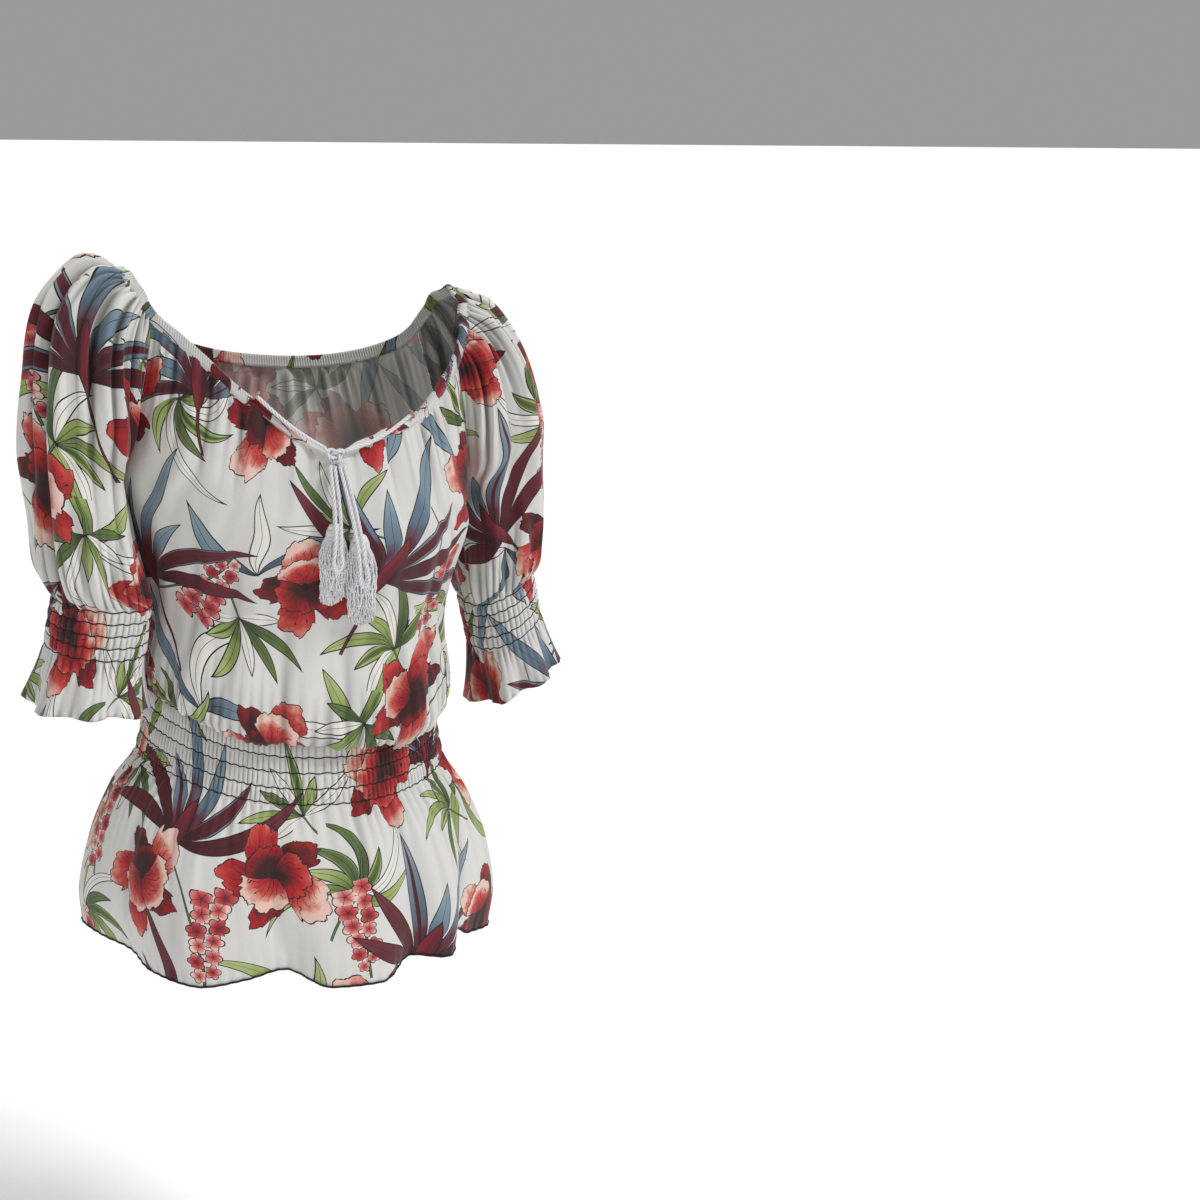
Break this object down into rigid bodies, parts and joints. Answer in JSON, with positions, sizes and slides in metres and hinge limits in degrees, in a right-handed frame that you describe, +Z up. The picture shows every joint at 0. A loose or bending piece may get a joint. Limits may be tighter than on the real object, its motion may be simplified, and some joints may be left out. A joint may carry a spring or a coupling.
{
  "type": "peasant blouse",
  "caption": "Hollow peasant blouse with puffed raglan sleeves, shirred cuffs with ruffles, a shirred waistband, a flared peplum and a tasselled drawstring at its V neck.",
  "frame": {"origin": "midway between the tops of the two shoulders, where a wearer carries the blouse", "axes": "+Z up, -Y towards the blouse's front, +X towards the wearer's left side"},
  "size_m": [0.528, 0.2943, 0.669],
  "materials": {
    "cloth": "matt light plain weave, printed with flowers",
    "cord": "matt twisted white yarn"
  },
  "bodies": {
    "root": {"bodice_front": "cloth", "bodice_back": "cloth", "sleeve_right": "cloth", "sleeve_left": "cloth", "cuff_right": "cloth", "cuff_left": "cloth", "ruffle_right": "cloth", "ruffle_left": "cloth", "waistband_front": "cloth", "waistband_back": "cloth", "peplum_front": "cloth", "peplum_back": "cloth", "neck_casing": "cloth", "tie_right": "cord", "tie_left": "cord", "tie_knot": "cord", "tie_loop_right": "cord", "tie_loop_left": "cord", "tie_end_right": "cord", "tie_end_left": "cord", "tassel_right": "cord", "tassel_left": "cord"}
  },
  "joints": []
}
